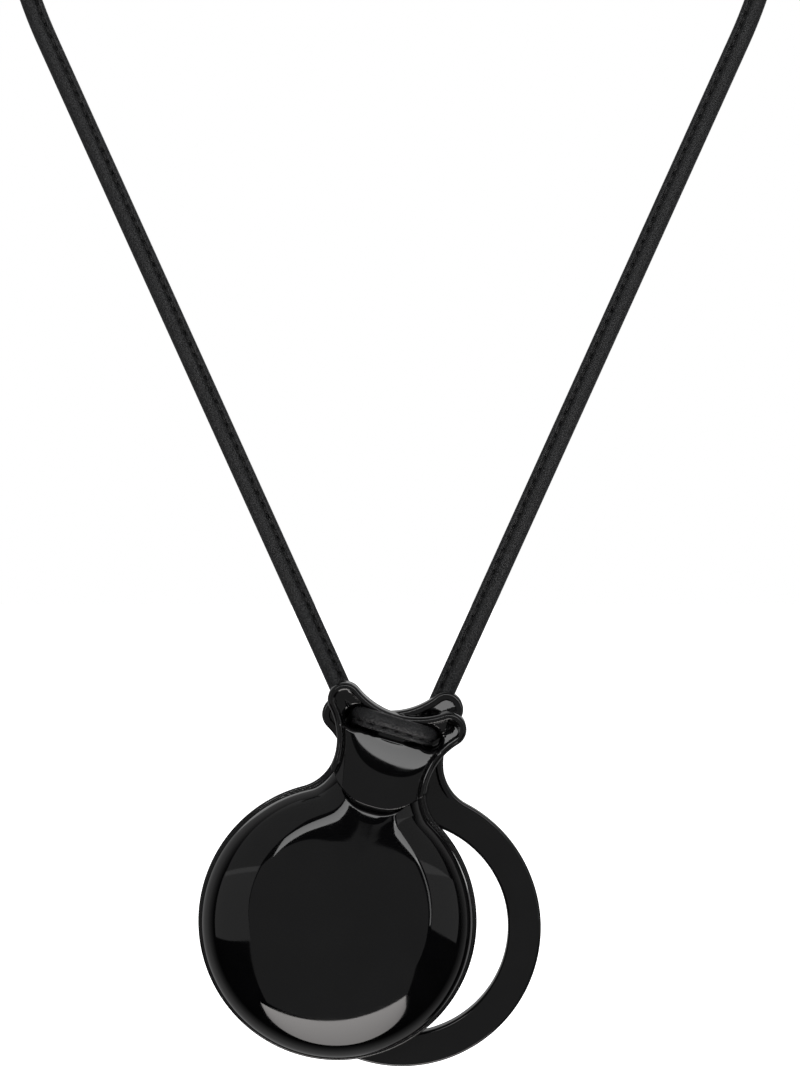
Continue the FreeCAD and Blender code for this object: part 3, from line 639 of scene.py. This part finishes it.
def add_card(name, azimuth, elevation, width, low_edge, high_edge, glow, colour=(1, 1, 1), roll=0):
    """Glowing sheet between two edges, each a height across its width; glow is given at both edges."""
    columns = 33
    across = np.linspace(-1, 1, columns)
    mesh = bpy.data.meshes.new(name)
    places = [(x * width / 2, edge(x), 0) for x in across for edge in (low_edge, high_edge)]
    mesh.from_pydata(places, [], [(k, k + 2, k + 3, k + 1) for k in range(0, 2 * columns - 2, 2)])
    mesh.attributes.new("glow", "FLOAT", "POINT").data.foreach_set("value", list(glow) * columns)
    material, tree, shader = new_material(name, (0, 0, 0), 1.0)
    shader.inputs["Emission Color"].default_value = (*colour, 1)
    level = tree.nodes.new("ShaderNodeAttribute")
    level.attribute_name = "glow"
    tree.links.new(level.outputs["Fac"], shader.inputs["Emission Strength"])
    mesh.materials.append(material)
    card = new_object(name, mesh)
    card.visible_shadow = False
    face_pendant(card, azimuth, elevation, 1.0, roll)


def make_stage():
    # White backdrop for the camera; what the lacquer reflects away from the softboxes is nearly black.
    world = bpy.data.worlds.new("studio")
    bpy.context.scene.world = world
    world.use_nodes = True
    tree = world.node_tree
    shown = tree.nodes["Background"]
    shown.inputs["Color"].default_value = (1, 1, 1, 1)
    dark = tree.nodes.new("ShaderNodeBackground")
    place = tree.nodes.new("ShaderNodeTexCoord")
    parts = tree.nodes.new("ShaderNodeSeparateXYZ")
    behind = tree.nodes.new("ShaderNodeMapRange")
    behind.inputs["From Min"].default_value = -0.05
    behind.inputs["From Max"].default_value = 0.35
    behind.inputs["To Min"].default_value = 0.004
    behind.inputs["To Max"].default_value = 0.38
    tree.links.new(place.outputs["Generated"], parts.inputs["Vector"])
    tree.links.new(parts.outputs["Y"], behind.inputs["Value"])
    tree.links.new(behind.outputs["Result"], dark.inputs["Strength"])
    rays = tree.nodes.new("ShaderNodeLightPath")
    mix = tree.nodes.new("ShaderNodeMixShader")
    tree.links.new(rays.outputs["Is Camera Ray"], mix.inputs["Fac"])
    tree.links.new(dark.outputs["Background"], mix.inputs[1])
    tree.links.new(shown.outputs["Background"], mix.inputs[2])
    tree.links.new(mix.outputs["Shader"], tree.nodes["World Output"].inputs["Surface"])

    reach, level = 6.0, cad_box[0].z - 0.04
    mesh = bpy.data.meshes.new("floor")
    mesh.from_pydata([(-reach, -reach, level), (reach, -reach, level), (reach, reach, level),
                      (-reach, reach, level)], [], [(0, 1, 2, 3)])
    floor = new_object("floor", mesh)
    material, _, shader = new_material("floor_white", (0.9, 0.9, 0.9), 0.9)
    shader.inputs["Emission Color"].default_value = (1, 1, 1, 1)
    shader.inputs["Emission Strength"].default_value = 1.3
    mesh.materials.append(material)
    floor.visible_glossy = False
    floor.visible_diffuse = False

    add_softbox("front_panel", -3, -14.7, 1.0, 1.31, 1.34, 0.25)
    add_card("top_card", 6, 37.5, 1.06, lambda x: -0.14 - 0.2 * x * x, lambda x: 0.12 - 0.16 * x * x,
             (4.2, 3.2))
    add_card("low_card", -1, -66.5, 1.28, lambda x: 0.33 - 0.66 * math.sqrt(1 - x * x), lambda x: 0.33,
             (3.3, 5.8), (1, 0.965, 0.95), 10)
    add_softbox("right_strip", 34, 8, 1.0, 0.05, 0.5, 2.2)
    add_softbox("left_panel", -60, 3, 1.0, 0.87, 0.6, 0.42)
    add_softbox("left_upper", -60, 48, 1.0, 0.87, 1.2, 0.3)
    add_softbox("right_panel", 61, 4, 1.0, 0.8, 0.6, 0.42, (1, 1, 1), -12)
    add_softbox("right_upper", 61, 48, 1.0, 0.8, 1.2, 0.3)
    add_softbox("right_back", 150, 22, 1.0, 0.2, 0.8, 1.2)
    add_softbox("back_softbox", 180, 28, 1.2, 1.4, 0.4, 0.55)


def make_camera():
    data = bpy.data.cameras.new("camera")
    data.lens = 100.3
    data.sensor_width = 36.0
    data.clip_start, data.clip_end = 0.01, 50
    camera = bpy.data.objects.new("camera", data)
    bpy.context.scene.collection.objects.link(camera)
    camera.location = (0.00154, -0.6905, -0.25175)
    camera.rotation_euler = (math.radians(90), 0, 0)
    bpy.context.scene.camera = camera


# ---------------------------------------------------------------- assembly


def main():
    lacquer = lacquer_material()
    steel = steel_material("polished_steel", (0.5, 0.5, 0.52), 0.2, 0.32)
    spring_steel = steel_material("spring_steel", (0.4, 0.4, 0.42), 0.25, 0.4)

    grain = 0.3
    low = (-33, -79.5, -1)
    front = make_leaf("front_shell_lacquer", front_field, low, (33, 8.5, 16.5), grain, FRONT_TILT, -1)
    rear = make_leaf("rear_ring_lacquer", rear_field, low, (33, 8.5, 9.0), grain, REAR_TILT, 1)
    for piece, body, node in ((front, "front_leaf", "front_shell"), (rear, "rear_leaf", "rear_ring")):
        piece.data.materials.append(lacquer)
        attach(piece, body)
        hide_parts(node)

    line = cord_line()
    frames = cord_frames(line)
    cord, stitches = make_cord(line, frames), make_stitches(line, frames)
    cord.data.materials.append(leather_material())
    stitches.data.materials.append(thread_material())
    for piece in (cord, stitches):
        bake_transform(piece)
    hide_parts("neck_cord", "cord_core")

    nodes = frame["nodes"]
    for name, node in nodes.items():
        if name in ("front_shell", "rear_ring", "neck_cord", "cord_core"):
            continue
        node.data.materials.clear()
        node.data.materials.append(spring_steel if name == "gate_spring" else steel)

    make_stage()
    make_camera()
    bpy.context.scene.view_settings.view_transform = "Standard"


main()
